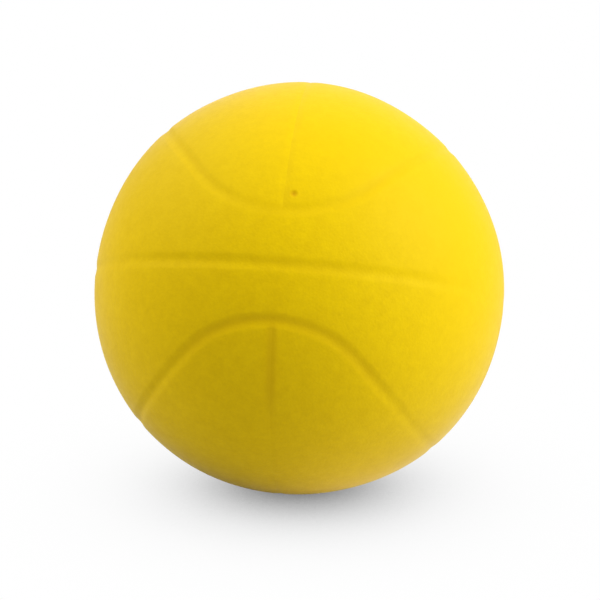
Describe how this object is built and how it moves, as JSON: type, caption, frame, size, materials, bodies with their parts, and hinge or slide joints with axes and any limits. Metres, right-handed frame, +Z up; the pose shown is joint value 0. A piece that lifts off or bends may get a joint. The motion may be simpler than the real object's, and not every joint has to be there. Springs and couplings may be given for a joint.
{
  "type": "dodgeball",
  "caption": "Round inflatable rubber dodgeball with soft moulded channels, a panelled cover over a thread-wound bladder, and a needle valve with a pull-out plug.",
  "frame": {"origin": "centre of the ball", "axes": "+Z up from the floor, -Y towards the viewer of the picture, +X to the viewer's right; the ball lies as pictured, with its pole leaning back and to the right"},
  "size_m": [0.178, 0.178, 0.178],
  "materials": {
    "cover_rubber": "matt yellow moulded foam rubber with a fine grain",
    "nylon_thread": "off-white nylon thread set in latex",
    "bladder_rubber": "smooth black butyl rubber",
    "patch_rubber": "dark grey rubberised sheet",
    "housing_rubber": "black moulded rubber",
    "plug_rubber": "smooth yellow rubber"
  },
  "bodies": {
    "ball": {"upper_band_panel": "cover_rubber", "lower_band_panel": "cover_rubber", "upper_right_cap_panel": "cover_rubber", "upper_left_cap_panel": "cover_rubber", "lower_right_cap_panel": "cover_rubber", "lower_left_cap_panel": "cover_rubber", "winding": "nylon_thread", "bladder": "bladder_rubber", "valve_patch": "patch_rubber", "valve_housing": "housing_rubber"},
    "plug": {"valve_plug": "plug_rubber"}
  },
  "joints": [
    {"name": "plug_pull", "type": "slide", "parent": "ball", "child": "plug", "axis": [-0.0199, -0.8088, 0.5878], "range_m": [0, 0.018]}
  ]
}
